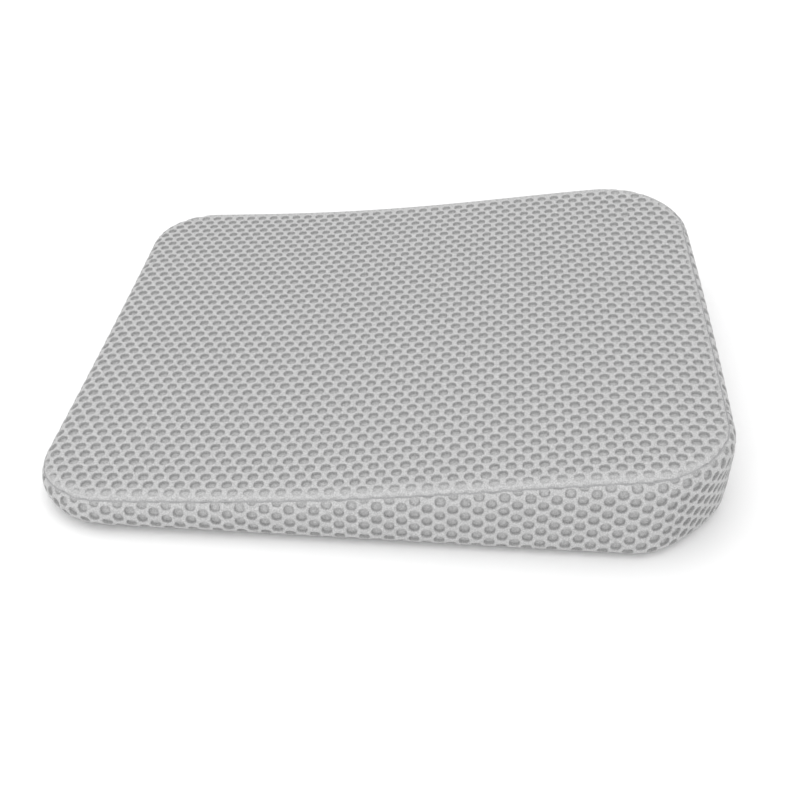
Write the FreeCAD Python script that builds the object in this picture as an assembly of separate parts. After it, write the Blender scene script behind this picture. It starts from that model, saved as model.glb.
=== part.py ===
import FreeCAD, Part
import math
import os

# A wedge seat cushion: foam core in a liner, inside a sewn mesh cover with a zip across its rear.
# Millimetres. +X runs from the thin front edge to the thick rear edge, +Z is up, and the base lies on Z = 0.

# Driving dimensions of the cushion
LENGTH = 400.0
WIDTH = 346.0
FRONT_HEIGHT = 21.0
MIDDLE_HEIGHT = 36.0
REAR_HEIGHT = 62.0
FRONT_CORNER = 45.0
REAR_CORNER = 58.0
TOP_ROUND = 10.5
BASE_ROUND = 5.5
COVER = 3.0
LINER = 0.8

# Seams of the cover
TOP_SEAM_INSET = 3.4
TOP_SEAM_DEPTH = 9.0
BASE_SEAM_INSET = 1.8
BASE_SEAM_HEIGHT = 6.0
THREAD_WIDTH = 0.8
THREAD_DEPTH = 0.7

# Rear opening and zip
GUSSET_LENGTH = 210.0
ZIP_HEIGHT = 28.0
ZIP_OPENING = 12.0
CHAIN_LENGTH = 200.0
TAPE_WIDTH = 13.0
TAPE_THICKNESS = 0.8
TAPE_DEPTH = 1.8
COIL_WIDTH = 3.0
COIL_HEIGHT = 2.2
COIL_ROOT = 1.4
COIL_PITCH = 1.6
COIL_GAP = 0.6
STITCH_LENGTH = 2.4
STITCH_PITCH = 3.2
STITCH_THICKNESS = 0.4
STITCH_LINE = 8.6

# Slider and pull
SLIDER_LENGTH = 11.0
SLIDER_WIDTH = 9.0
PLATE = 0.9
RUNNING_GAP = 0.15
POST_THICKNESS = 0.3
POST_LENGTH = 4.0
CROWN_WIDTH = 2.0
CROWN_SPAN = 7.4
CROWN_THICKNESS = 0.8
HINGE_LIFT = 1.0
PIN_RADIUS = 0.6
PULL_LENGTH = 24.0
PULL_WIDTH = 7.0
PULL_NECK = 5.2
EYE_LENGTH = 5.0
EYE_WIDTH = 2.6
STOP_LENGTH = 2.5

# Anti-slip base
DOT_RADIUS = 2.0
DOT_DEPTH = 0.4
DOT_PITCH = 30.0
DOT_MARGIN = 16.0

REAR_FACE = LENGTH / 2
TAPE_BACK = REAR_FACE - TAPE_DEPTH
TAPE_FACE = TAPE_BACK + TAPE_THICKNESS
COIL_FACE = TAPE_FACE + COIL_HEIGHT
MARGIN = 20.0
CURVE_STEPS = 8
TOLERANCE = 0.01


def box(x0, x1, y0, y1, z0, z1):
    return Part.makeBox(x1 - x0, y1 - y0, z1 - z0, FreeCAD.Vector(x0, y0, z0))


def facing_out(shape):
    """The same solids, each with its faces turned outward."""
    solids = []
    for solid in shape.Solids:
        if solid.Volume < 0:
            solid = solid.reversed()
        solids.append(solid)
    return solids[0] if len(solids) == 1 else Part.makeCompound(solids)


def top_point(x, drop):
    """Point of the top surface over x, moved down its own normal by drop."""
    q = 2 * x / LENGTH
    rise = (REAR_HEIGHT - FRONT_HEIGHT) / 2
    bow = (REAR_HEIGHT + FRONT_HEIGHT) / 2 - MIDDLE_HEIGHT
    slope = (rise + 2 * bow * q) * 2 / LENGTH
    tilt = math.atan(slope)
    z = MIDDLE_HEIGHT + rise * q + bow * q * q
    return FreeCAD.Vector(x + drop * math.sin(tilt), 0, z - drop * math.cos(tilt))


def below_top(drop):
    """Everything under the top surface lowered by drop."""
    reach = LENGTH / 2 + MARGIN
    step = 2 * reach / CURVE_STEPS
    points = [top_point(-reach + step * i, drop) for i in range(CURVE_STEPS + 1)]
    curve = Part.BSplineCurve()
    curve.interpolate(points)
    rear_foot = FreeCAD.Vector(points[-1].x, 0, -MARGIN)
    front_foot = FreeCAD.Vector(points[0].x, 0, -MARGIN)
    corners = [points[-1], rear_foot, front_foot, points[0]]
    wire = Part.Wire([curve.toShape()] + [Part.makeLine(a, b) for a, b in zip(corners, corners[1:])])
    slab = Part.Face(wire).extrude(FreeCAD.Vector(0, WIDTH + 2 * MARGIN, 0))
    slab.translate(FreeCAD.Vector(0, -WIDTH / 2 - MARGIN, 0))
    return slab


def plan_prism(inset, z0=-MARGIN / 2, z1=REAR_HEIGHT + MARGIN):
    """Upright prism of the plan outline, drawn in by inset."""
    x = LENGTH / 2 - inset
    y = WIDTH / 2 - inset
    diagonal = math.sqrt(0.5)
    corners = [(1, 1, REAR_CORNER), (-1, 1, FRONT_CORNER), (-1, -1, FRONT_CORNER), (1, -1, REAR_CORNER)]
    edges = []
    previous = None
    first = None
    for sx, sy, full_radius in corners:
        radius = full_radius - inset
        centre = FreeCAD.Vector(sx * (x - radius), sy * (y - radius), z0)
        along_x = centre + FreeCAD.Vector(sx * radius, 0, 0)
        along_y = centre + FreeCAD.Vector(0, sy * radius, 0)
        middle = centre + FreeCAD.Vector(sx, sy, 0) * (radius * diagonal)
        start, end = (along_x, along_y) if sx * sy > 0 else (along_y, along_x)
        if previous is None:
            first = start
        else:
            edges.append(Part.makeLine(previous, start))
        edges.append(Part.Arc(start, middle, end).toShape())
        previous = end
    edges.append(Part.makeLine(previous, first))
    return Part.Face(Part.Wire(edges)).extrude(FreeCAD.Vector(0, 0, z1 - z0))


def is_upright(edge):
    return edge.BoundBox.XLength < TOLERANCE and edge.BoundBox.YLength < TOLERANCE


def cushion_solid(inset):
    """The whole cushion form, shrunk on every side by inset."""
    body = plan_prism(inset, z0=inset).common(below_top(inset))
    top_edges = [edge for edge in body.Edges if not is_upright(edge) and edge.BoundBox.ZMax > inset + TOLERANCE]
    body = body.makeFillet(TOP_ROUND - inset, top_edges)
    base_edges = [edge for edge in body.Edges if edge.BoundBox.ZMax < inset + TOLERANCE]
    return body.makeFillet(BASE_ROUND - inset, base_edges)


def cover_regions():
    """Regions of the cover taken by the top panel and by the bottom panel."""
    top = plan_prism(TOP_SEAM_INSET).cut(below_top(TOP_SEAM_DEPTH))
    bottom = plan_prism(BASE_SEAM_INSET, z1=BASE_SEAM_HEIGHT)
    return top, bottom


def seam_thread(skin, inset, zone):
    """A thread ring lying in the surface along the line where a panel meets the band."""
    ring = plan_prism(inset - THREAD_WIDTH / 2).cut(plan_prism(inset + THREAD_WIDTH / 2))
    return skin.common(ring).common(zone)


def joint_threads(skin):
    """Two upright threads where the side band meets the rear strips."""
    threads = []
    for side in (-1, 1):
        y = side * GUSSET_LENGTH / 2
        strip = box(REAR_FACE - COVER, REAR_FACE + COVER, y - THREAD_WIDTH / 2, y + THREAD_WIDTH / 2,
                    BASE_ROUND, REAR_HEIGHT - TOP_ROUND - COVER)
        threads.append(skin.common(strip))
    return Part.makeCompound(threads)


def zip_tape(side):
    """One woven tape; side is +1 for the upper and -1 for the lower."""
    near = ZIP_HEIGHT + side * COIL_GAP / 2 + side * COIL_ROOT
    far = near + side * TAPE_WIDTH
    return box(TAPE_BACK, TAPE_FACE, -GUSSET_LENGTH / 2, GUSSET_LENGTH / 2, min(near, far), max(near, far))


def zip_coil(side):
    """One row of zip elements: a continuous root with rounded teeth reaching to the centre line."""
    tip = ZIP_HEIGHT + side * COIL_GAP / 2
    outer = tip + side * COIL_WIDTH
    root_edge = outer - side * COIL_ROOT
    half = CHAIN_LENGTH / 2
    row = box(TAPE_FACE, COIL_FACE - COIL_ROOT / 2, -half, half, min(outer, root_edge), max(outer, root_edge))
    count = int(CHAIN_LENGTH / COIL_PITCH)
    phase = COIL_PITCH / 2 if side > 0 else 0.0
    tooth = COIL_PITCH / 2
    teeth = []
    for i in range(count):
        y = -half + phase + i * COIL_PITCH
        teeth.append(box(TAPE_FACE, COIL_FACE, y, y + tooth, min(tip, outer), max(tip, outer)))
    return row.fuse(teeth)


def zip_stops():
    """Two end stops, one on each row, and the bridge stop that joins the rows at the other end."""
    half = CHAIN_LENGTH / 2
    tops = []
    for side in (-1, 1):
        near = ZIP_HEIGHT + side * COIL_GAP / 2
        far = near + side * (COIL_WIDTH + COIL_ROOT / 2)
        tops.append(box(TAPE_FACE, COIL_FACE, half, half + STOP_LENGTH, min(near, far), max(near, far)))
    reach = COIL_GAP / 2 + COIL_WIDTH + COIL_ROOT / 2
    bottom = box(TAPE_FACE, COIL_FACE, -half - STOP_LENGTH, -half, ZIP_HEIGHT - reach, ZIP_HEIGHT + reach)
    return Part.makeCompound(tops), bottom


def slider_centre():
    return CHAIN_LENGTH / 2 - SLIDER_LENGTH / 2 - RUNNING_GAP


def zip_slider():
    """Slider body: an outer and an inner plate joined by a thin post, side lips and the crown."""
    y = slider_centre()
    half_length = SLIDER_LENGTH / 2
    half_width = SLIDER_WIDTH / 2
    outer_base = COIL_FACE + RUNNING_GAP
    outer_top = outer_base + PLATE
    inner_top = TAPE_BACK - RUNNING_GAP
    outer = box(outer_base, outer_top, y - half_length, y + half_length,
                ZIP_HEIGHT - half_width, ZIP_HEIGHT + half_width)
    inner = box(inner_top - PLATE, inner_top, y - half_length, y + half_length,
                ZIP_HEIGHT - half_width, ZIP_HEIGHT + half_width)
    plates = []
    for plate in (outer, inner):
        upright = [e for e in plate.Edges if e.BoundBox.XLength > PLATE / 2]
        plates.append(plate.makeFillet(SLIDER_WIDTH / 4, upright))
    parts = [plates[1]]
    for side in (-1, 1):
        edge = ZIP_HEIGHT + side * half_width
        lip = edge - side * PLATE
        parts.append(box(TAPE_FACE + RUNNING_GAP, outer_base, y - half_length / 2, y + half_length / 2,
                         min(edge, lip), max(edge, lip)))
    post_front = y + half_length - PLATE
    parts.append(box(inner_top, outer_base, post_front - POST_LENGTH, post_front,
                     ZIP_HEIGHT - POST_THICKNESS / 2, ZIP_HEIGHT + POST_THICKNESS / 2))
    crown_top = outer_top + HINGE_LIFT + PIN_RADIUS + RUNNING_GAP + CROWN_THICKNESS
    crown = box(outer_top, crown_top, y - CROWN_SPAN / 2, y + CROWN_SPAN / 2,
                ZIP_HEIGHT - CROWN_WIDTH / 2, ZIP_HEIGHT + CROWN_WIDTH / 2)
    outer_corners = [e for e in crown.Edges if e.BoundBox.ZLength > CROWN_WIDTH / 2
                     and e.BoundBox.XMin > outer_top + CROWN_THICKNESS]
    crown = crown.makeFillet(CROWN_THICKNESS, outer_corners)
    window = box(outer_top, crown_top - CROWN_THICKNESS, y - CROWN_SPAN / 2 + CROWN_THICKNESS,
                 y + CROWN_SPAN / 2 - CROWN_THICKNESS, ZIP_HEIGHT - CROWN_WIDTH, ZIP_HEIGHT + CROWN_WIDTH)
    parts.append(crown.cut(window))
    return plates[0].fuse(parts).removeSplitter()


def hinge_x():
    return COIL_FACE + RUNNING_GAP + PLATE + HINGE_LIFT


def zip_pull():
    """Flat pull whose round cross pin passes under the crown; it lies back along the closed chain."""
    y = slider_centre()
    x = hinge_x()
    half_thick = PIN_RADIUS
    neck_end = y - EYE_LENGTH - PIN_RADIUS
    tab_end = y - PULL_LENGTH
    neck = box(x - half_thick, x + half_thick, neck_end, y, ZIP_HEIGHT - PULL_NECK / 2, ZIP_HEIGHT + PULL_NECK / 2)
    tab = box(x - half_thick, x + half_thick, tab_end, neck_end, ZIP_HEIGHT - PULL_WIDTH / 2,
              ZIP_HEIGHT + PULL_WIDTH / 2)
    corners = [e for e in tab.Edges if e.BoundBox.XLength > half_thick]
    tab = tab.makeFillet(PULL_WIDTH / 4, corners)
    join = box(x - half_thick, x + half_thick, neck_end - PULL_WIDTH / 4, neck_end,
               ZIP_HEIGHT - PULL_NECK / 2, ZIP_HEIGHT + PULL_NECK / 2)
    eye = box(x - PULL_WIDTH, x + PULL_WIDTH, y - EYE_LENGTH, y + PIN_RADIUS,
              ZIP_HEIGHT - EYE_WIDTH / 2, ZIP_HEIGHT + EYE_WIDTH / 2)
    pin = Part.makeCylinder(PIN_RADIUS, PULL_NECK, FreeCAD.Vector(x, y, ZIP_HEIGHT - PULL_NECK / 2),
                            FreeCAD.Vector(0, 0, 1))
    return neck.fuse([tab, join]).cut(eye).fuse(pin).removeSplitter()


def zip_stitching():
    """Rows of stitches that hold the rear strips to the tapes."""
    count = int((GUSSET_LENGTH - STITCH_PITCH) / STITCH_PITCH)
    start = -count * STITCH_PITCH / 2
    stitches = []
    for side in (-1, 1):
        z = ZIP_HEIGHT + side * STITCH_LINE
        for i in range(count):
            y = start + i * STITCH_PITCH
            stitches.append(box(REAR_FACE, REAR_FACE + STITCH_THICKNESS, y, y + STITCH_LENGTH,
                                z - STITCH_THICKNESS / 2, z + STITCH_THICKNESS / 2))
    return Part.makeCompound(stitches)


def grip_dots():
    """Staggered dots let into the base fabric, flush with its underside."""
    clear = plan_prism(DOT_MARGIN)
    columns = int(LENGTH / DOT_PITCH)
    rows = int(WIDTH / DOT_PITCH)
    dots = []
    for row in range(-rows, rows + 1):
        y = row * DOT_PITCH / 2
        shift = 0.0 if row % 2 else DOT_PITCH / 2
        for column in range(-columns, columns + 1):
            centre = FreeCAD.Vector(column * DOT_PITCH + shift, y, 0)
            if clear.isInside(centre, TOLERANCE, False):
                dots.append(Part.makeCylinder(DOT_RADIUS, DOT_DEPTH, centre))
    return Part.makeCompound(dots)


def build():
    outer = cushion_solid(0.0)
    cover_inside = cushion_solid(COVER)
    foam = cushion_solid(COVER + LINER)
    top_region, bottom_region = cover_regions()
    skin = outer.cut(cushion_solid(THREAD_DEPTH))
    above = plan_prism(0.0).cut(below_top(TOP_SEAM_DEPTH))
    below = plan_prism(0.0, z1=BASE_SEAM_HEIGHT)
    top_thread = seam_thread(skin, TOP_SEAM_INSET, above)
    bottom_thread = seam_thread(skin, BASE_SEAM_INSET, below)
    upright_threads = joint_threads(skin)
    dots = grip_dots()

    gusset = box(REAR_FACE - COVER, REAR_FACE + MARGIN, -GUSSET_LENGTH / 2, GUSSET_LENGTH / 2,
                 -MARGIN, REAR_HEIGHT + MARGIN)
    band = outer.cut([top_region, bottom_region]).cut(cover_inside)
    band = band.cut([top_thread, bottom_thread, upright_threads])
    tapes = {side: zip_tape(side) for side in (-1, 1)}
    strips = {}
    for side in (-1, 1):
        edge = ZIP_HEIGHT + side * ZIP_OPENING / 2
        beyond = edge + side * REAR_HEIGHT
        half = box(REAR_FACE - COVER, REAR_FACE + MARGIN, -GUSSET_LENGTH / 2, GUSSET_LENGTH / 2,
                   min(edge, beyond), max(edge, beyond))
        strips[side] = band.common(half).cut(tapes[side])
    top_stops, bottom_stop = zip_stops()

    return {
        "foam_core": foam,
        "inner_liner": cover_inside.cut(foam),
        "top_panel": outer.common(top_region).cut(cover_inside).cut(top_thread),
        "bottom_panel": outer.common(bottom_region).cut(cover_inside).cut([bottom_thread, dots]),
        "side_band": band.cut(gusset),
        "rear_strip_upper": strips[1],
        "rear_strip_lower": strips[-1],
        "top_seam_thread": top_thread,
        "bottom_seam_thread": bottom_thread,
        "band_joint_threads": upright_threads,
        "grip_dots": dots,
        "zip_tape_upper": tapes[1],
        "zip_tape_lower": tapes[-1],
        "zip_coil_upper": zip_coil(1),
        "zip_coil_lower": zip_coil(-1),
        "zip_top_stops": top_stops,
        "zip_bottom_stop": bottom_stop,
        "zip_stitching": zip_stitching(),
        "zip_slider": zip_slider(),
        "zip_pull": zip_pull(),
    }


os.makedirs("parts", exist_ok=True)
for name, shape in build().items():
    facing_out(shape).exportStep(os.path.join("parts", name + ".step"))
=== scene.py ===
import math
from collections import namedtuple

import bmesh
import bpy
import numpy as np
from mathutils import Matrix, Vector


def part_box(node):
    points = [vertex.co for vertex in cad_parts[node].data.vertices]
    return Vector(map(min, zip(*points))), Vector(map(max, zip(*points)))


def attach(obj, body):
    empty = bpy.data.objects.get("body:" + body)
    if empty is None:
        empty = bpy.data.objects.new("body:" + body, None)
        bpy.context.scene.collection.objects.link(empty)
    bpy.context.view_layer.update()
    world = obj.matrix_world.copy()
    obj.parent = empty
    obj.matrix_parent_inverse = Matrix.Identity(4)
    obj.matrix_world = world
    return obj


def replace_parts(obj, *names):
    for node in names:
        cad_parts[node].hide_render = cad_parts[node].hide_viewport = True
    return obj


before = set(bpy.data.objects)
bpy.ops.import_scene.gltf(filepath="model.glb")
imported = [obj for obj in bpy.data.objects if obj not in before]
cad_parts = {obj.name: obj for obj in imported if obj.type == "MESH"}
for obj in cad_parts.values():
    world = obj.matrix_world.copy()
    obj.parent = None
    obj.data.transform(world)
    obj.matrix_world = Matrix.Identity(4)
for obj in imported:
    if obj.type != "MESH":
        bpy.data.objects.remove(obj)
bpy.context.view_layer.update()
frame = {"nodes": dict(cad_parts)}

# A wedge seat cushion in a spacer-mesh cover. Metres; +X runs from the thin end to the thick end.
MM = 0.001
BODY = "cushion"

# From the frame
COVER_LOW, COVER_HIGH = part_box("side_band")
LENGTH = COVER_HIGH.x - COVER_LOW.x
REAR_FACE = COVER_HIGH.x
GUSSET_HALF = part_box("rear_strip_upper")[1].y
OPENING_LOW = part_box("rear_strip_lower")[1].z
OPENING_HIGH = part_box("rear_strip_upper")[0].z
ZIP_Z = (OPENING_LOW + OPENING_HIGH) / 2
DOT_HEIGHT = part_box("grip_dots")[1].z

# The top panel's mesh: staggered holes, PITCH apart along a row, rows ROW_GAP apart. The whole form is
# given in pitches too.
PITCHES_LONG = 44.25
PITCH = LENGTH / PITCHES_LONG
ROW_GAP = 0.719 * PITCH
FIRST_HOLE = 0.47 * PITCH
FIRST_ROW = -4.92 * ROW_GAP

# The band's mesh is turned a quarter: its columns stand BAND_COLUMN apart round the outline, its holes lie
# 2 * BAND_ROW apart up a column, and its rows climb a little
BAND_COLUMN = 1.528 * PITCH
BAND_ROW = 0.504 * PITCH
BAND_START = 8.85 * PITCH
BAND_RISE = 3.62 * PITCH
BAND_CLIMB = 0.016
BAND_SAMPLES = 200

# One hole: a rounded square, with rings from its lip down: share of its radius, depth, painted shade
HOLE_RADIUS = 0.31 * PITCH
HOLE_SQUARENESS = 2.4
HOLE_DEPTH = 2.0 * MM
RING_POINTS = 12
RINGS = ((1.17, 0.1 * MM, 0.1), (1.02, 0.5 * MM, 1.0), (0.95, HOLE_DEPTH, 1.0))
# Painted shade in the holes: the floors' share of it, how much darker the walls are coloured, the layer
# carrying it
FLOOR_PAINTED_SHADE = 0.2
HOLE_PAINTED_SHADE = 0.32
PAINTED_SHADE_LAYER = "painted_hole_shade"
SAME_PLACE = 0.02 * MM

# Plan outline at its widest, before its sides bow
HALF_LENGTH = 22.0 * PITCH
HALF_WIDTH = 18.88 * PITCH
TAPER = -0.011
FRONT_BOW = -0.23 * PITCH
REAR_BOW = 0.48 * PITCH
SIDE_BOW = 0.02 * PITCH
BOW_POWER = 3
CENTRE_X = -(REAR_BOW - FRONT_BOW) / 2
CORNERS = {(1, 1): 6.8 * PITCH, (-1, 1): 4.9 * PITCH, (-1, -1): 5.4 * PITCH, (1, -1): 6.1 * PITCH}

# Seat height in pitches, as powers of x / SEAT_REACH, then what is added towards both long sides, and the
# tilt across
SEAT_REACH = 21.5 * PITCH
SIDE_REACH = 19.0 * PITCH
SEAT_PROFILE = (4.01, 2.42, 0.97, -0.48, -0.60)
SEAT_DISH = (0.01, 0.36, 0.26)
SEAT_TILT = (0.06, 0.16)
SEAT_TABLE_REACH = 1.1 * HALF_LENGTH
SEAT_TABLE_STEPS = 241

# Section of the edge: the panel rolls over to the seam, the side rounds under it, leans in and turns under
PANEL_ROUND = 1.01 * PITCH
SIDE_ROUND = 1.21 * PITCH
REAR_ROUND_MORE = -0.15 * PITCH
SEAM_ANGLE = math.radians(47.5)
REAR_ANGLE_MORE = math.radians(12)
FRONT_ANGLE_LESS = math.radians(24)
END_FOCUS = 4
LEAN = 0.05
LEAN_ALONG = -0.055
LEAN_MIDDLE = -0.055
LEAN_CORNER = 0.02
LEAN_CORNER_ALONG = 0.10
BASE_ROUND = 1.2 * PITCH
BASE_ROUND_ALONG = -0.24 * PITCH
BASE_SEAM_ANGLE = math.radians(68)

# The wall round the zip is kept straight: in full up to ZIP_FLAT above and below it, then less and less
ZIP_FLAT = 12 * MM
ZIP_FLAT_END = 19 * MM
GUSSET_FADE = 25 * MM

# Seams: a groove with a thread in it, towards which the holes grow shallower
GROOVE = 0.8 * MM
GROOVE_WIDTH = 0.8 * MM
SIDE_THINNED = 11.0 * MM
END_THINNED = 4.0 * MM
BAND_THINNED = 3.2 * MM
DEPTH_AT_SEAM = 0.05
SEAM_WAVE = 0.45 * MM
SEAM_WAVE_LENGTH = 1.3 * PITCH
THREAD_RADIUS = 0.3 * MM
THREAD_STEP = 2 * MM
THREAD_SIDES = 6

# Filling and base: their depth under the cover's face, and where their rings of points lie
FOAM_DEPTH = 4.2 * MM
LINER_DEPTH = 3.4 * MM
FILLING_STEP = 8 * MM
BASE_STEP = 4 * MM
BASE_FOLD = 2 * GROOVE
UNDERSIDE_SHARES = (0.0, 0.25, 0.5, 0.75, 0.9, 1.0)
TURN_UP_SHARES = (0.25, 0.5, 0.75, 1.0)
WALL_RINGS = 15
ROLL_SHARES = (0.6, 0.8, 1.0, 2.0)
SEAT_SHARES = (0.8, 0.6, 0.4, 0.2, 0.0)

# Zip
TAPE_STEP = 4 * MM
TAPE_DIP = 2.0 * MM
COIL_PITCH = 1.6 * MM
COIL_WIRE = 0.3 * MM
COIL_SIDES = 5
COIL_STEPS = 10
COIL_OVERLAP = 0.3 * MM
STITCH_PITCH = 3.2 * MM
STITCH_LENGTH = 2.4 * MM
STITCH_RADIUS = 0.3 * MM
STITCH_SIDES = 5
STITCH_SHARES = np.array([0, 0.2, 0.8, 1])
STITCH_BULGE = np.array([-1.5, 0.4, 0.4, -1.5])

# Materials and stage
GRAIN_DETAIL = 3
FLOOR_REACH = 12.0
SKY_STRENGTH = 0.95
CAMERA_PLACE = Vector((5.78, -68.02, 49.33)) * PITCH + Vector((CENTRE_X, 0, 0))
CAMERA_YAW = math.radians(-4.54)
CAMERA_PITCH = math.radians(-37.46)
CAMERA_LENS = 50.4

Straight = namedtuple("Straight", "place ahead length")
Arc = namedtuple("Arc", "centre turn radius")
Edge = namedtuple("Edge", "angle side_round seam_inset roll_inset")
Column = namedtuple(
    "Column", "x y nx ny seam_angle side_round seam_z lean base_round straight rounded total")


def smoothstep(low, high, value):
    share = np.clip((value - low) / (high - low), 0, 1)
    return share * share * (3 - 2 * share)


def spaced(low, high, step):
    return np.linspace(low, high, max(2, int(round((high - low) / step)) + 1))


def unit(vectors):
    return vectors / np.linalg.norm(vectors, axis=-1, keepdims=True)


# ---------------------------------------------------------------- outline

def bowed(x, y):
    """Plan point after the sides bow."""
    qx = np.clip(x / HALF_LENGTH, -1, 1)
    qy = np.clip(y / HALF_WIDTH, -1, 1)
    end_bow = np.where(x > 0, REAR_BOW, FRONT_BOW)
    out_x = x + end_bow * np.sign(qx) * np.abs(qx) ** BOW_POWER * (1 - qy ** 2)
    out_y = y * (1 + TAPER * qx) + SIDE_BOW * np.sign(qy) * np.abs(qy) ** BOW_POWER * (1 - qx ** 2)
    return out_x, out_y


def placed(plan_x, plan_y, z):
    """Points of the form as points of the frame."""
    return np.stack([plan_x + CENTRE_X, plan_y, z], -1)


def from_outline(x, y):
    """Inset of plan points from the widest outline, and the outward direction there."""
    radius = np.zeros_like(x)
    for (side_x, side_y), corner_radius in CORNERS.items():
        radius[(x * side_x >= 0) & (y * side_y >= 0)] = corner_radius
    beyond_x = np.abs(x) - (HALF_LENGTH - radius)
    beyond_y = np.abs(y) - (HALF_WIDTH - radius)
    corner = (beyond_x > 0) & (beyond_y > 0)
    reach = np.maximum(np.hypot(beyond_x, beyond_y), MM * MM)
    to_end = HALF_LENGTH - np.abs(x)
    to_side = HALF_WIDTH - np.abs(y)
    inset = np.where(corner, radius - reach, np.minimum(to_end, to_side))
    nx = np.where(corner, beyond_x / reach, to_end < to_side) * np.sign(x)
    ny = np.where(corner, beyond_y / reach, to_end >= to_side) * np.sign(y)
    return inset, nx, ny


def outline_runs():
    """Straight runs and corner arcs of the outline, from the middle of the thick end round through +Y."""
    runs = []
    place = Vector((HALF_LENGTH, 0))
    for quarter, (side_x, side_y) in enumerate([(1, 1), (-1, 1), (-1, -1), (1, -1)]):
        radius = CORNERS[side_x, side_y]
        centre = Vector((side_x * (HALF_LENGTH - radius), side_y * (HALF_WIDTH - radius)))
        turn = quarter * math.pi / 2
        out = Vector((math.cos(turn), math.sin(turn)))
        run = centre + out * radius - place
        runs.append(Straight(place, run.normalized(), run.length))
        runs.append(Arc(centre, turn, radius))
        place = centre + Vector((-out.y, out.x)) * radius
    closing = Vector((HALF_LENGTH, 0)) - place
    runs.append(Straight(place, closing.normalized(), closing.length))
    return runs


def run_length(run):
    return run.length if isinstance(run, Straight) else run.radius * math.pi / 2


RUNS = outline_runs()
PERIMETER = sum(run_length(run) for run in RUNS)


def near_middle():
    """Distance round the outline to the middle of the -Y side, which a corner and a short run follow."""
    after = sum(run_length(run) for run in RUNS[-2:])
    return PERIMETER - after - (HALF_LENGTH - CORNERS[1, -1])


def outline_point(t):
    """Plan point and outward direction at distance t round the outline."""
    t = np.mod(t, PERIMETER)
    x, y, nx, ny = (np.zeros_like(t) for _ in range(4))
    start = 0.0
    for run in RUNS:
        end = start + run_length(run)
        here = (t >= start) & (t <= end)
        along = t[here] - start
        if isinstance(run, Straight):
            x[here] = run.place.x + run.ahead.x * along
            y[here] = run.place.y + run.ahead.y * along
            nx[here] = run.ahead.y
            ny[here] = -run.ahead.x
        else:
            angle = run.turn + along / run.radius
            nx[here] = np.cos(angle)
            ny[here] = np.sin(angle)
            x[here] = run.centre.x + run.radius * nx[here]
            y[here] = run.centre.y + run.radius * ny[here]
        start = end
    return x, y, nx, ny


# ---------------------------------------------------------------- seat and wall

def powers(row, q):
    return sum(k * q ** i for i, k in enumerate(row))


def seat_height(x, y):
    """Height of the seat surface over a plan point."""
    q = x / SEAT_REACH
    w = y / SIDE_REACH
    rise, dish, tilt = (powers(row, q) for row in (SEAT_PROFILE, SEAT_DISH, SEAT_TILT))
    return PITCH * (rise + w * w * dish + w * tilt)


def seat_normal(x, y):
    slope_x = (seat_height(x + MM, y) - seat_height(x - MM, y)) / (2 * MM)
    slope_y = (seat_height(x, y + MM) - seat_height(x, y - MM)) / (2 * MM)
    return unit(np.stack([-slope_x, -slope_y, np.ones_like(slope_x)], -1))


def along_seat():
    """Table of distance along the seat's curve against X."""
    x = np.linspace(-SEAT_TABLE_REACH, SEAT_TABLE_REACH, SEAT_TABLE_STEPS)
    arc = np.concatenate([[0], np.cumsum(np.hypot(np.diff(x), np.diff(seat_height(x, 0 * x))))])
    return arc - np.interp(0, x, arc), x


SEAT_ARC, SEAT_X = along_seat()


def edge_shape(nx):
    """Where the top seam lies in the rounded edge, for an outward direction's X."""
    at_rear = np.clip(nx, 0, 1) ** END_FOCUS
    at_front = np.clip(-nx, 0, 1) ** END_FOCUS
    angle = SEAM_ANGLE + REAR_ANGLE_MORE * at_rear - FRONT_ANGLE_LESS * at_front
    side_round = SIDE_ROUND + REAR_ROUND_MORE * at_rear
    seam_inset = side_round * (1 - np.cos(angle))
    return Edge(angle, side_round, seam_inset, seam_inset + PANEL_ROUND * np.cos(angle))


def seam_wave(x, y):
    """How far the top seam wanders up from its line at an outline point."""
    turn = 2 * math.pi / SEAM_WAVE_LENGTH
    return SEAM_WAVE / 2 * (np.sin(turn * x) + np.sin(turn * y))


def panel_surface(flat):
    """Top panel: flat cloth (along the seat, across it) to point, normal, distance inside the seam, and the
    distance over which its holes grow shallower there."""
    x = np.interp(flat[..., 0], SEAT_ARC, SEAT_X)
    y = flat[..., 1]
    inset, nx, ny = from_outline(x, y)
    edge = edge_shape(nx)
    wave = seam_wave(x + nx * inset, y + ny * inset)
    seam = edge.roll_inset - PANEL_ROUND * (math.pi / 2 - edge.angle) + wave
    held = np.maximum(inset, seam)
    angle = math.pi / 2 - np.clip((edge.roll_inset - held) / PANEL_ROUND, 0, None)
    rolled = edge.roll_inset - PANEL_ROUND * np.cos(angle)
    drawn_in = np.where(held < edge.roll_inset, rolled, held)
    plan_x, plan_y = bowed(x + nx * (inset - drawn_in), y + ny * (inset - drawn_in))
    z = seat_height(plan_x, plan_y) - PANEL_ROUND * (1 - np.sin(angle))
    outward = np.stack([nx, ny, 0 * nx], -1) * np.cos(angle)[..., None]
    normal = outward + seat_normal(plan_x, plan_y) * np.sin(angle)[..., None]
    thinned = END_THINNED + (SIDE_THINNED - END_THINNED) * ny ** 2
    return placed(plan_x, plan_y, z), normal, inset - seam, thinned


def wall_lean(q, nx, ny):
    """How far the wall leans in, as an angle, at share q of the length and for an outward direction."""
    middle = np.clip(1 - q * q, 0, 1) * ny * ny
    corner = (2 * nx * ny) ** 2
    return LEAN + LEAN_ALONG * q + LEAN_MIDDLE * middle + corner * (LEAN_CORNER + LEAN_CORNER_ALONG * q)


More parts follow.
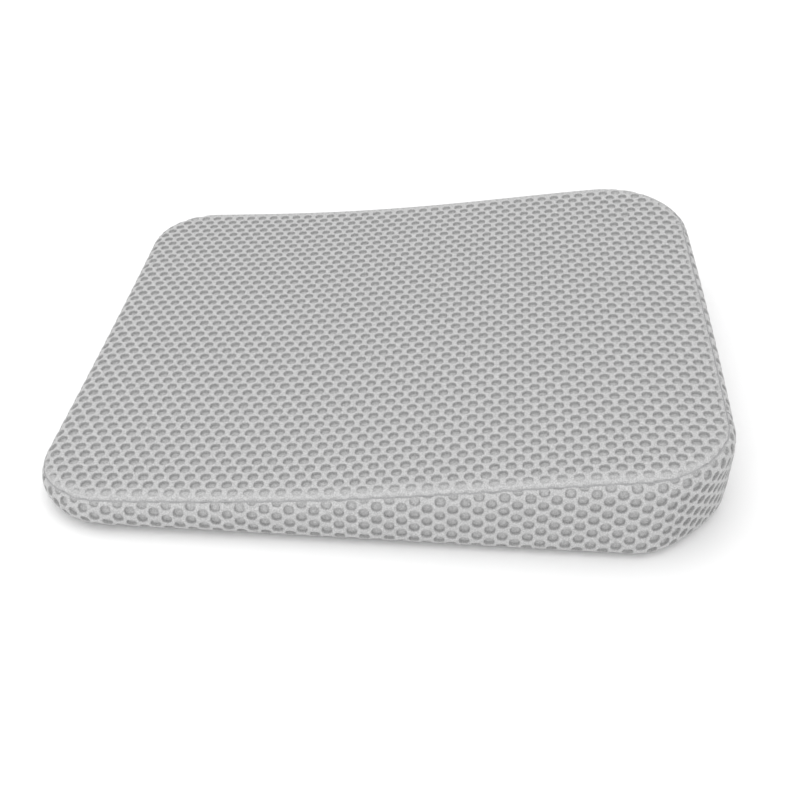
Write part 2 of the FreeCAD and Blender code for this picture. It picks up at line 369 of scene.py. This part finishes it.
def wall_column(t):
    """The side wall's section at distance t round the outline."""
    x, y, nx, ny = outline_point(t)
    seam_angle, side_round, seam_inset, _ = edge_shape(nx)
    seam_x, seam_y = bowed(x - nx * seam_inset, y - ny * seam_inset)
    seam_z = seat_height(seam_x, seam_y) - PANEL_ROUND * (1 - np.sin(seam_angle))
    q = x / HALF_LENGTH
    lean = wall_lean(q, nx, ny)
    room = seam_z - side_round * (np.sin(seam_angle) + np.sin(lean))
    base_round = np.minimum(BASE_ROUND + BASE_ROUND_ALONG * q, room / (1 - np.sin(lean)))
    straight = (room - base_round * (1 - np.sin(lean))) / np.cos(lean)
    rounded = side_round * (seam_angle + lean)
    total = rounded + straight + base_round * (math.pi / 2 - lean)
    return Column(x, y, nx, ny, seam_angle, side_round, seam_z, lean, base_round, straight, rounded, total)


def top_edge(t):
    """Distance up the band's cloth, from where it meets the ground, to the top seam."""
    column = wall_column(t)
    return column.total + seam_wave(column.x, column.y)


def base_edge(t):
    """Distance up the cloth to the base seam."""
    return wall_column(t).base_round * (math.pi / 2 - BASE_SEAM_ANGLE)


def wall_span(t):
    """Distances up the cloth to both seams, at one place round the outline."""
    return float(base_edge(np.array([t]))[0]), float(top_edge(np.array([t]))[0])


def flattened(points):
    """The wall round the zip kept straight and upright, so that the zip lies in it."""
    x, y, z = points[..., 0], points[..., 1], points[..., 2]
    near_zip = 1 - smoothstep(ZIP_FLAT, ZIP_FLAT_END, np.abs(z - ZIP_Z))
    in_gusset = 1 - smoothstep(GUSSET_HALF, GUSSET_HALF + GUSSET_FADE, np.abs(y))
    moved = points.copy()
    moved[..., 0] += near_zip * in_gusset * (x > 0) * (REAR_FACE - x)
    return moved


def wall_surface(t, v):
    """Side wall: distance round the outline, and up the cloth from the ground, to point and normal."""
    wall = wall_column(t)
    down = wall.total - v
    angle = wall.seam_angle - np.minimum(down, wall.rounded) / wall.side_round
    on_straight = np.clip(down - wall.rounded, 0, wall.straight)
    under = wall.lean + np.clip(down - wall.rounded - wall.straight, 0, None) / wall.base_round
    z = wall.seam_z - wall.side_round * (np.sin(wall.seam_angle) - np.sin(angle))
    z -= on_straight * np.cos(wall.lean) + wall.base_round * (np.sin(under) - np.sin(wall.lean))
    drawn_in = wall.side_round * (1 - np.cos(angle)) + on_straight * np.sin(wall.lean)
    drawn_in += wall.base_round * (np.cos(wall.lean) - np.cos(under))
    plan_x, plan_y = bowed(wall.x - wall.nx * drawn_in, wall.y - wall.ny * drawn_in)
    tilt = np.where(down < wall.rounded, angle, -under)
    normal = np.stack([wall.nx * np.cos(tilt), wall.ny * np.cos(tilt), np.sin(tilt)], -1)
    return flattened(placed(plan_x, plan_y, z)), normal


def band_surface(start, end, low, high):
    """Surface of a piece of the band between two places round the outline and two edges up the cloth."""
    def surface(flat):
        t, v = flat[..., 0], flat[..., 1]
        t_held = np.clip(t, start, end)
        bottom, top = low(t_held), high(t_held)
        inside = np.minimum.reduce([t - start, end - t, v - bottom, top - v])
        point, normal = wall_surface(t_held, np.clip(v, bottom, top))
        return point, normal, inside, BAND_THINNED
    return surface


def level(height):
    """An edge of a band piece at one height up its cloth."""
    def edge(t):
        return 0 * t + height
    return edge


def at_height(z):
    """Distance up the cloth that lies at height z in the middle of the rear wall."""
    v = spaced(0, wall_span(0.0)[1], MM / 2)
    point, _ = wall_surface(0 * v, v)
    return float(np.interp(z, point[:, 2], v))


# ---------------------------------------------------------------- meshes

def make_object(name, points, faces):
    mesh = bpy.data.meshes.new(name)
    mesh.from_pydata(np.asarray(points).tolist(), [], faces)
    mesh.shade_smooth()
    made = bpy.data.objects.new(name, mesh)
    bpy.context.scene.collection.objects.link(made)
    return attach(made, BODY)


def quads(rings, following):
    """Faces between rings of point numbers and the rings that follow them."""
    corners = [rings, np.roll(rings, -1, axis=1), np.roll(following, -1, axis=1), following]
    return np.stack(corners, -1).reshape(-1, 4)


def weld(made):
    """Joins points that lie in one place."""
    work = bmesh.new()
    work.from_mesh(made.data)
    bmesh.ops.remove_doubles(work, verts=work.verts, dist=MM * MM)
    work.to_mesh(made.data)
    work.free()


def ring_mesh(name, rows):
    """Quads between rings of the same number of points; the first or last ring may be one place."""
    points = np.array(rows)
    index = np.arange(points.shape[0] * points.shape[1]).reshape(points.shape[:2])
    made = make_object(name, points.reshape(-1, 3), quads(index[:-1], index[1:]).tolist())
    weld(made)
    return made


def tube(path, normals, radius, sides, closed=False):
    """Points and faces of a round thread along a path, one side of it facing along the normals."""
    ahead = np.roll(path, -1, axis=0) - np.roll(path, 1, axis=0)
    if not closed:
        ahead[0] = path[1] - path[0]
        ahead[-1] = path[-1] - path[-2]
    across = unit(np.cross(ahead, normals))
    turn = 2 * math.pi * np.arange(sides) / sides
    ring = np.cos(turn)[:, None] * normals[:, None, :] + np.sin(turn)[:, None] * across[:, None, :]
    points = path[:, None, :] + radius * ring
    index = np.arange(len(path) * sides).reshape(len(path), sides)
    faces = quads(index, np.roll(index, -1, axis=0)) if closed else quads(index[:-1], index[1:])
    return points.reshape(-1, 3), faces


def thread_object(name, tubes):
    """One object of several tubes."""
    points, faces = [], []
    for tube_points, tube_faces in tubes:
        faces += (tube_faces + len(points)).tolist()
        points += tube_points.tolist()
    return make_object(name, points, faces)


# ---------------------------------------------------------------- mesh fabric

def lattice(low, high, along, across, origin):
    """Centres of staggered holes over a flat rectangle."""
    first = np.floor((np.array(low) - origin) / (along, across)).astype(int) - 1
    last = np.ceil((np.array(high) - origin) / (along, across)).astype(int) + 1
    i, j = np.meshgrid(np.arange(first[0], last[0] + 1), np.arange(first[1], last[1] + 1), indexing="ij")
    shift = np.where(j % 2 == 0, 0.0, 0.5)
    return np.stack([origin[0] + (i + shift) * along, origin[1] + j * across], -1).reshape(-1, 2)


def cell_outline(along, across):
    """Side middles and corners of the six-sided cell round a hole whose rows lie along the first axis."""
    side = (across ** 2 - (along / 2) ** 2) / (2 * across)
    peak = across - side
    half = along / 2
    corners = np.array([(half, -side), (half, side), (0, peak), (-half, side), (-half, -side), (0, -peak)])
    middles = (corners + np.roll(corners, -1, axis=0)) / 2
    return np.roll(np.stack([corners, middles], 1).reshape(-1, 2), -1, axis=0)


def upright_cell(column, row):
    """The same cell for fabric turned a quarter, going round the same way."""
    x, y = cell_outline(2 * row, column / 2).T
    return np.roll(np.stack([-y, x], -1), RING_POINTS // 4, axis=0)


def hole_ring(radius):
    turn = 2 * math.pi * np.arange(RING_POINTS) / RING_POINTS
    both = np.stack([np.cos(turn), np.sin(turn)], -1)
    return radius * np.sign(both) * np.abs(both) ** (2 / HOLE_SQUARENESS)


def flat_fabric(centres, cell):
    """Fabric laid out flat: its points with depth and painted shade, and the faces of the walls and floors.
    """
    shares, depths, painted_shades = zip(*RINGS)
    rings = np.array([cell] + [hole_ring(share * HOLE_RADIUS) for share in shares])
    flat = centres[:, None, None, :] + rings
    depth = np.broadcast_to(np.array((0.0,) + depths)[:, None], flat.shape[:-1])
    shade = np.broadcast_to(np.array((0.0,) + painted_shades)[:, None], flat.shape[:-1])
    index = np.arange(depth.size).reshape(depth.shape)
    following = np.roll(index, -1, axis=2)
    walls = np.stack([index[:, :-1], following[:, :-1], following[:, 1:], index[:, 1:]], -1).reshape(-1, 4)
    floors = index[:, -1]
    flat, depth, shade = flat.reshape(-1, 2), depth.reshape(-1), shade.reshape(-1)
    places = np.round(np.column_stack([flat, depth]) / SAME_PLACE).astype(int)
    _, keep, where = np.unique(places, axis=0, return_index=True, return_inverse=True)
    where = where.reshape(-1)
    return flat[keep], depth[keep], shade[keep], where[walls], where[floors]


def pressed(point, normal, inside, depth, thinned):
    """Points moved under the fabric's face, and how much of a hole's depth is left near a seam."""
    inside = np.maximum(inside, 0)
    fullness = DEPTH_AT_SEAM + (1 - DEPTH_AT_SEAM) * smoothstep(0, thinned, inside)
    groove = GROOVE * np.exp(-(inside / GROOVE_WIDTH) ** 2)
    sunk = depth * fullness + groove
    return point - normal * sunk[..., None], fullness


def perforated(name, centres, cell, surface, skew=0.0):
    """Strands round the holes, each hole with a rounded lip, a wall and a floor."""
    flat, depth, shade, walls, floors = flat_fabric(centres, cell)
    flat[:, 1] += skew * flat[:, 0]
    point, normal, inside, thinned = surface(flat)
    point, fullness = pressed(point, normal, inside, depth, thinned)
    # The painted shade fades where the holes grow shallower near a seam
    shade = shade * fullness
    walls, floors = (faces[(inside[faces] > 0).any(axis=1)] for faces in (walls, floors))
    used = np.unique(np.concatenate([walls.reshape(-1), floors.reshape(-1)]))
    wall_faces, floor_faces = (np.searchsorted(used, faces).tolist() for faces in (walls, floors))
    made = make_object(name, point[used], wall_faces + floor_faces)
    # Painted shade per face corner: the walls in full, the floors in part
    painted_shades = np.concatenate([shade[walls].reshape(-1), FLOOR_PAINTED_SHADE * shade[floors].reshape(-1)])
    layer = made.data.attributes.new(PAINTED_SHADE_LAYER, "FLOAT", "CORNER")
    layer.data.foreach_set("value", painted_shades)
    return made


def top_panel():
    reach = np.array([SEAT_ARC[-1], HALF_WIDTH + PITCH])
    centres = lattice(-reach, reach, PITCH, ROW_GAP, np.array([FIRST_HOLE, FIRST_ROW]))
    centres = centres[panel_surface(centres)[2] > -PITCH]
    made = perforated("seat_mesh", centres, cell_outline(PITCH, ROW_GAP), panel_surface)
    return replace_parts(made, "top_panel")


def band_cloth(node, start, end, low, high):
    """One piece of the band, its columns of holes upright."""
    surface = band_surface(start, end, low, high)
    tallest = float(high(np.linspace(start, end, BAND_SAMPLES)).max())
    origin = np.array([near_middle() + BAND_START, BAND_RISE])
    drift = BAND_CLIMB * PERIMETER
    centres = lattice((start, -drift), (end, tallest + drift), BAND_COLUMN, BAND_ROW, origin)
    centres[:, 1] -= BAND_CLIMB * origin[0]
    skewed = centres + np.outer(centres[:, 0], (0, BAND_CLIMB))
    centres = centres[surface(skewed)[2] > -PITCH]
    cell = upright_cell(BAND_COLUMN, BAND_ROW)
    made = perforated(node + "_mesh", centres, cell, surface, BAND_CLIMB)
    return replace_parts(made, node)


# ---------------------------------------------------------------- threads

def seam_thread(t, v, closed):
    """A thread lying in the groove of a seam of the band."""
    point, normal = wall_surface(t, v)
    normal = unit(normal)
    return tube(point - normal * (GROOVE - THREAD_RADIUS), normal, THREAD_RADIUS, THREAD_SIDES, closed)


def seam_threads():
    round_it = np.arange(0, PERIMETER, THREAD_STEP)
    top = thread_object("top_thread", [seam_thread(round_it, top_edge(round_it), True)])
    base = thread_object("base_thread", [seam_thread(round_it, base_edge(round_it), True)])
    uprights = []
    for t in (GUSSET_HALF, -GUSSET_HALF):
        v = spaced(*wall_span(t), THREAD_STEP)
        uprights.append(seam_thread(0 * v + t, v, False))
    joints = thread_object("joint_threads", uprights)
    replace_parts(top, "top_seam_thread")
    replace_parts(base, "bottom_seam_thread")
    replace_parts(joints, "band_joint_threads")
    return [top, base, joints]


# ---------------------------------------------------------------- filling and base

def underside(height, t):
    """Rings from the middle of the underside out to where the wall leaves the ground."""
    point, _ = wall_surface(t, 0 * t)
    rows = []
    for share in UNDERSIDE_SHARES:
        row = point * share
        row[:, 2] = height
        rows.append(row)
    return rows


def panel_ring(depth, x, y):
    """A ring of points under the top panel's face."""
    flat = np.stack([np.interp(x, SEAT_X, SEAT_ARC), y], -1)
    point, normal, *_ = panel_surface(flat)
    return point - depth * normal


def ring_rows(depth, t):
    """Rings of points at a depth under the cover's face, from the ground up to the seat's middle."""
    rows = []
    for share in np.linspace(0, 1, WALL_RINGS):
        point, normal = wall_surface(t, share * top_edge(t))
        rows.append(point - depth * normal)
    x, y, nx, ny = outline_point(t)
    roll_inset = edge_shape(nx).roll_inset
    for share in ROLL_SHARES:
        inset = share * roll_inset
        rows.append(panel_ring(depth, x - nx * inset, y - ny * inset))
    x, y = x - nx * inset, y - ny * inset
    for share in SEAT_SHARES:
        rows.append(panel_ring(depth, share * x, share * y))
    return rows


def filling(name, node, depth):
    """A closed padded piece that fills the cover, depth under the cover's face."""
    t = np.arange(0, PERIMETER, FILLING_STEP)
    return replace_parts(ring_mesh(name, underside(depth, t) + ring_rows(depth, t)), node)


def base_panel():
    """The underside's plain fabric, turned up to the base seam and folded in there."""
    t = np.arange(0, PERIMETER, BASE_STEP)
    rows = underside(DOT_HEIGHT, t)
    edge = base_edge(t)
    for share in TURN_UP_SHARES:
        point, normal = wall_surface(t, share * edge)
        lift = DOT_HEIGHT * (1 - share) + GROOVE / 2 * share
        rows.append(point - normal * lift)
    rows.append(point - normal * BASE_FOLD)
    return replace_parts(ring_mesh("base_fabric", rows), "bottom_panel")


# ---------------------------------------------------------------- zip

def zip_tape(node, side):
    """A tape that runs from the coil under the strip's edge and dips behind it."""
    low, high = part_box(node)
    near, far = (low.z, high.z) if side > 0 else (high.z, low.z)
    face, hidden = high.x, high.x - TAPE_DIP
    edge = ZIP_Z + side * (OPENING_HIGH - ZIP_Z)
    section = [(face, near), (face, edge), (hidden, edge + side * TAPE_DIP), (hidden, far)]
    ys = spaced(low.y, high.y, TAPE_STEP)
    points = [(x, y, z) for y in ys for x, z in section]
    index = np.arange(len(points)).reshape(len(ys), len(section))
    faces = np.stack([index[:-1, :-1], index[:-1, 1:], index[1:, 1:], index[1:, :-1]], -1).reshape(-1, 4)
    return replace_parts(make_object(node + "_cloth", points, faces[:, ::-side].tolist()), node)


def zip_coil(node, side):
    """One row of the zip: a wire wound round the tape's edge, its loops between those of the other row."""
    low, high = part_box(node)
    loops = int((high.y - low.y) / COIL_PITCH) - 1
    turn = 2 * math.pi * np.arange(loops * COIL_STEPS) / COIL_STEPS
    start = low.y + COIL_WIRE + (COIL_PITCH / 2 if side > 0 else 0)
    middle_x, middle_z = (low.x + high.x) / 2, (low.z + high.z - side * COIL_OVERLAP) / 2
    reach_x = (high.x - low.x) / 2 - COIL_WIRE
    reach_z = (high.z - low.z + COIL_OVERLAP) / 2 - COIL_WIRE
    outward = np.stack([np.cos(turn), 0 * turn, np.sin(turn)], -1)
    path = np.stack([middle_x + reach_x * np.cos(turn), start + turn / (2 * math.pi) * COIL_PITCH,
                     middle_z + reach_z * np.sin(turn)], -1)
    made = thread_object(node + "_wire", [tube(path, outward, COIL_WIRE, COIL_SIDES)])
    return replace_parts(made, node)


def zip_stitching():
    """A row of stitches on each rear strip."""
    low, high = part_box("zip_stitching")
    outward = np.tile([1.0, 0, 0], (len(STITCH_SHARES), 1))
    stitches = []
    for z in (low.z + STITCH_RADIUS, high.z - STITCH_RADIUS):
        for y in np.arange(low.y, high.y - STITCH_LENGTH, STITCH_PITCH):
            along = y + STITCH_LENGTH * STITCH_SHARES
            path = np.stack([REAR_FACE + STITCH_RADIUS * STITCH_BULGE, along, 0 * along + z], -1)
            stitches.append(tube(path, outward, STITCH_RADIUS, STITCH_SIDES))
    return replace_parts(thread_object("zip_stitches", stitches), "zip_stitching")


# ---------------------------------------------------------------- materials

def material(name, colour, roughness, metallic=0.0, sheen=0.0):
    made = bpy.data.materials.new(name)
    made.use_nodes = True
    shader = made.node_tree.nodes["Principled BSDF"]
    shader.inputs["Base Color"].default_value = (*colour, 1)
    shader.inputs["Roughness"].default_value = roughness
    shader.inputs["Metallic"].default_value = metallic
    shader.inputs["Sheen Weight"].default_value = sheen
    return made, shader


def add_grain(made, shader, colour, spread, grain, relief):
    """Colour variation and relief from noise in the object's own coordinates."""
    nodes, links = made.node_tree.nodes, made.node_tree.links
    place = nodes.new("ShaderNodeTexCoord")
    noise = nodes.new("ShaderNodeTexNoise")
    noise.inputs["Scale"].default_value = 1 / grain
    noise.inputs["Detail"].default_value = GRAIN_DETAIL
    links.new(place.outputs["Object"], noise.inputs["Vector"])
    shade = nodes.new("ShaderNodeMapRange")
    shade.inputs["To Min"].default_value = 1 - spread
    shade.inputs["To Max"].default_value = 1 + spread
    links.new(noise.outputs["Fac"], shade.inputs["Value"])
    tint = nodes.new("ShaderNodeVectorMath")
    tint.operation = "SCALE"
    tint.inputs[0].default_value = colour
    links.new(shade.outputs["Result"], tint.inputs["Scale"])
    links.new(tint.outputs["Vector"], shader.inputs["Base Color"])
    bump = nodes.new("ShaderNodeBump")
    bump.inputs["Distance"].default_value = relief
    links.new(noise.outputs["Fac"], bump.inputs["Height"])
    links.new(bump.outputs["Normal"], shader.inputs["Normal"])


def paint_hole_shade(made, shader):
    """Painted shade: the walls and floors of the holes coloured darker than the strands, by the layer that
    the fabric's mesh carries.
    """
    nodes, links = made.node_tree.nodes, made.node_tree.links
    layer = nodes.new("ShaderNodeAttribute")
    layer.attribute_name = PAINTED_SHADE_LAYER
    shade = nodes.new("ShaderNodeMapRange")
    shade.inputs["To Min"].default_value = 1
    shade.inputs["To Max"].default_value = 1 - HOLE_PAINTED_SHADE
    links.new(layer.outputs["Fac"], shade.inputs["Value"])
    tint = nodes.new("ShaderNodeVectorMath")
    tint.operation = "SCALE"
    links.new(shader.inputs["Base Color"].links[0].from_socket, tint.inputs[0])
    links.new(shade.outputs["Result"], tint.inputs["Scale"])
    links.new(tint.outputs["Vector"], shader.inputs["Base Color"])


def cloth(name, colour, spread, grain, relief, holes=False):
    made, shader = material(name, colour, roughness=0.9, sheen=0.1)
    add_grain(made, shader, colour, spread, grain, relief)
    # Painted shade in the holes
    if holes:
        paint_hole_shade(made, shader)
    return made


def enamel(name, colour):
    made, shader = material(name, colour, roughness=0.35, metallic=0.4)
    add_grain(made, shader, colour, spread=0.04, grain=1.5 * MM, relief=0.02 * MM)
    return made


def silicone():
    colour = (0.55, 0.55, 0.56)
    made, shader = material("silicone", colour, roughness=0.5)
    add_grain(made, shader, colour, spread=0.03, grain=1 * MM, relief=0.02 * MM)
    return made


def mesh_fabric():
    return cloth("mesh_fabric", (0.48, 0.48, 0.48), spread=0.6, grain=0.8 * MM, relief=0.25 * MM, holes=True)


def sewing_thread():
    return cloth("thread", (0.38, 0.38, 0.385), spread=0.1, grain=0.3 * MM, relief=0.1 * MM)


def foam_filling():
    return cloth("foam", (0.85, 0.82, 0.72), spread=0.06, grain=0.8 * MM, relief=0.2 * MM)


def liner_knit():
    return cloth("liner", (0.80, 0.80, 0.78), spread=0.05, grain=0.5 * MM, relief=0.1 * MM)


def base_fabric():
    return cloth("base_fabric", (0.50, 0.50, 0.505), spread=0.08, grain=0.5 * MM, relief=0.1 * MM)


def tape_weave():
    return cloth("zip_tape", (0.50, 0.50, 0.51), spread=0.08, grain=0.4 * MM, relief=0.1 * MM)


def dress(made, pieces):
    for piece in pieces:
        piece.data.materials.clear()
        piece.data.materials.append(made)


# ---------------------------------------------------------------- stage

def make_floor():
    mesh = bpy.data.meshes.new("floor")
    corners = [(-FLOOR_REACH, -FLOOR_REACH), (FLOOR_REACH, -FLOOR_REACH)]
    corners += [(FLOOR_REACH, FLOOR_REACH), (-FLOOR_REACH, FLOOR_REACH)]
    mesh.from_pydata([(x, y, 0) for x, y in corners], [], [(0, 1, 2, 3)])
    floor = bpy.data.objects.new("floor", mesh)
    bpy.context.scene.collection.objects.link(floor)
    made, _ = material("floor", (0.95, 0.95, 0.95), roughness=0.9)
    floor.data.materials.append(made)


def area_light(name, place, size, power):
    """A soft square light that faces the origin."""
    data = bpy.data.lights.new(name, "AREA")
    data.shape = "SQUARE"
    data.size = size
    data.energy = power
    light = bpy.data.objects.new(name, data)
    light.location = place
    light.rotation_euler = (-Vector(place)).to_track_quat("-Z", "Y").to_euler()
    bpy.context.scene.collection.objects.link(light)


def make_lights():
    world = bpy.data.worlds.new("studio")
    bpy.context.scene.world = world
    world.use_nodes = True
    sky = world.node_tree.nodes["Background"]
    sky.inputs["Color"].default_value = (1, 1, 1, 1)
    sky.inputs["Strength"].default_value = SKY_STRENGTH
    area_light("overhead", place=(-0.3, -0.1, 2.2), size=1.8, power=14)
    area_light("front", place=(-0.2, -2.0, 1.0), size=1.6, power=7)
    bpy.context.scene.view_settings.view_transform = "Standard"


def make_camera():
    across = math.sin(CAMERA_YAW) * math.cos(CAMERA_PITCH)
    ahead = math.cos(CAMERA_YAW) * math.cos(CAMERA_PITCH)
    forward = Vector((across, ahead, math.sin(CAMERA_PITCH)))
    data = bpy.data.cameras.new("camera")
    data.lens = CAMERA_LENS
    camera = bpy.data.objects.new("camera", data)
    camera.location = CAMERA_PLACE
    camera.rotation_euler = forward.to_track_quat("-Z", "Y").to_euler()
    bpy.context.scene.collection.objects.link(camera)
    bpy.context.scene.camera = camera


# ---------------------------------------------------------------- build

def build_cover():
    """The top panel, the band and the two strips over and under the zip."""
    pieces = [
        top_panel(),
        band_cloth("side_band", GUSSET_HALF, PERIMETER - GUSSET_HALF, base_edge, top_edge),
        band_cloth("rear_strip_lower", -GUSSET_HALF, GUSSET_HALF, base_edge, level(at_height(OPENING_LOW))),
        band_cloth("rear_strip_upper", -GUSSET_HALF, GUSSET_HALF, level(at_height(OPENING_HIGH)), top_edge),
    ]
    dress(mesh_fabric(), pieces)
    return pieces


def build_filling():
    foam = filling("foam", "foam_core", FOAM_DEPTH)
    liner = filling("liner", "inner_liner", LINER_DEPTH)
    dress(foam_filling(), [foam])
    dress(liner_knit(), [liner])


def build_base():
    base = base_panel()
    dress(base_fabric(), [base])
    dress(silicone(), [frame["nodes"]["grip_dots"]])
    return base


def build_zip():
    tapes = [zip_tape("zip_tape_upper", 1), zip_tape("zip_tape_lower", -1)]
    coils = [zip_coil("zip_coil_upper", 1), zip_coil("zip_coil_lower", -1)]
    nodes = frame["nodes"]
    metal = [nodes[name] for name in ("zip_slider", "zip_pull", "zip_top_stops", "zip_bottom_stop")]
    dress(tape_weave(), tapes)
    dress(enamel("zip_coil", (0.46, 0.46, 0.47)), coils)
    dress(enamel("zip_metal", (0.45, 0.45, 0.46)), metal)
    return tapes


def declare_panels():
    """Points round the plan outline, one millimetre apart; nothing is made from them."""
    x, y, _, _ = outline_point(np.arange(0, PERIMETER, MM))


def declare_band(lower, upper):
    """The unrolled wall's height round the outline and the rear strips' heights; nothing is made from them.
    """
    round_it = np.arange(GUSSET_HALF, PERIMETER - GUSSET_HALF, MM)
    height = top_edge(round_it) - base_edge(round_it)
    bottom, top = wall_span(0.0)
    for strip, tall in ((lower, at_height(OPENING_LOW) - bottom), (upper, top - at_height(OPENING_HIGH))):
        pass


def build():
    panel, band, lower, upper = build_cover()
    dress(sewing_thread(), seam_threads() + [zip_stitching()])
    build_filling()
    base = build_base()
    tapes = build_zip()
    declare_panels()
    declare_band(lower, upper)


build()
make_floor()
make_lights()
make_camera()
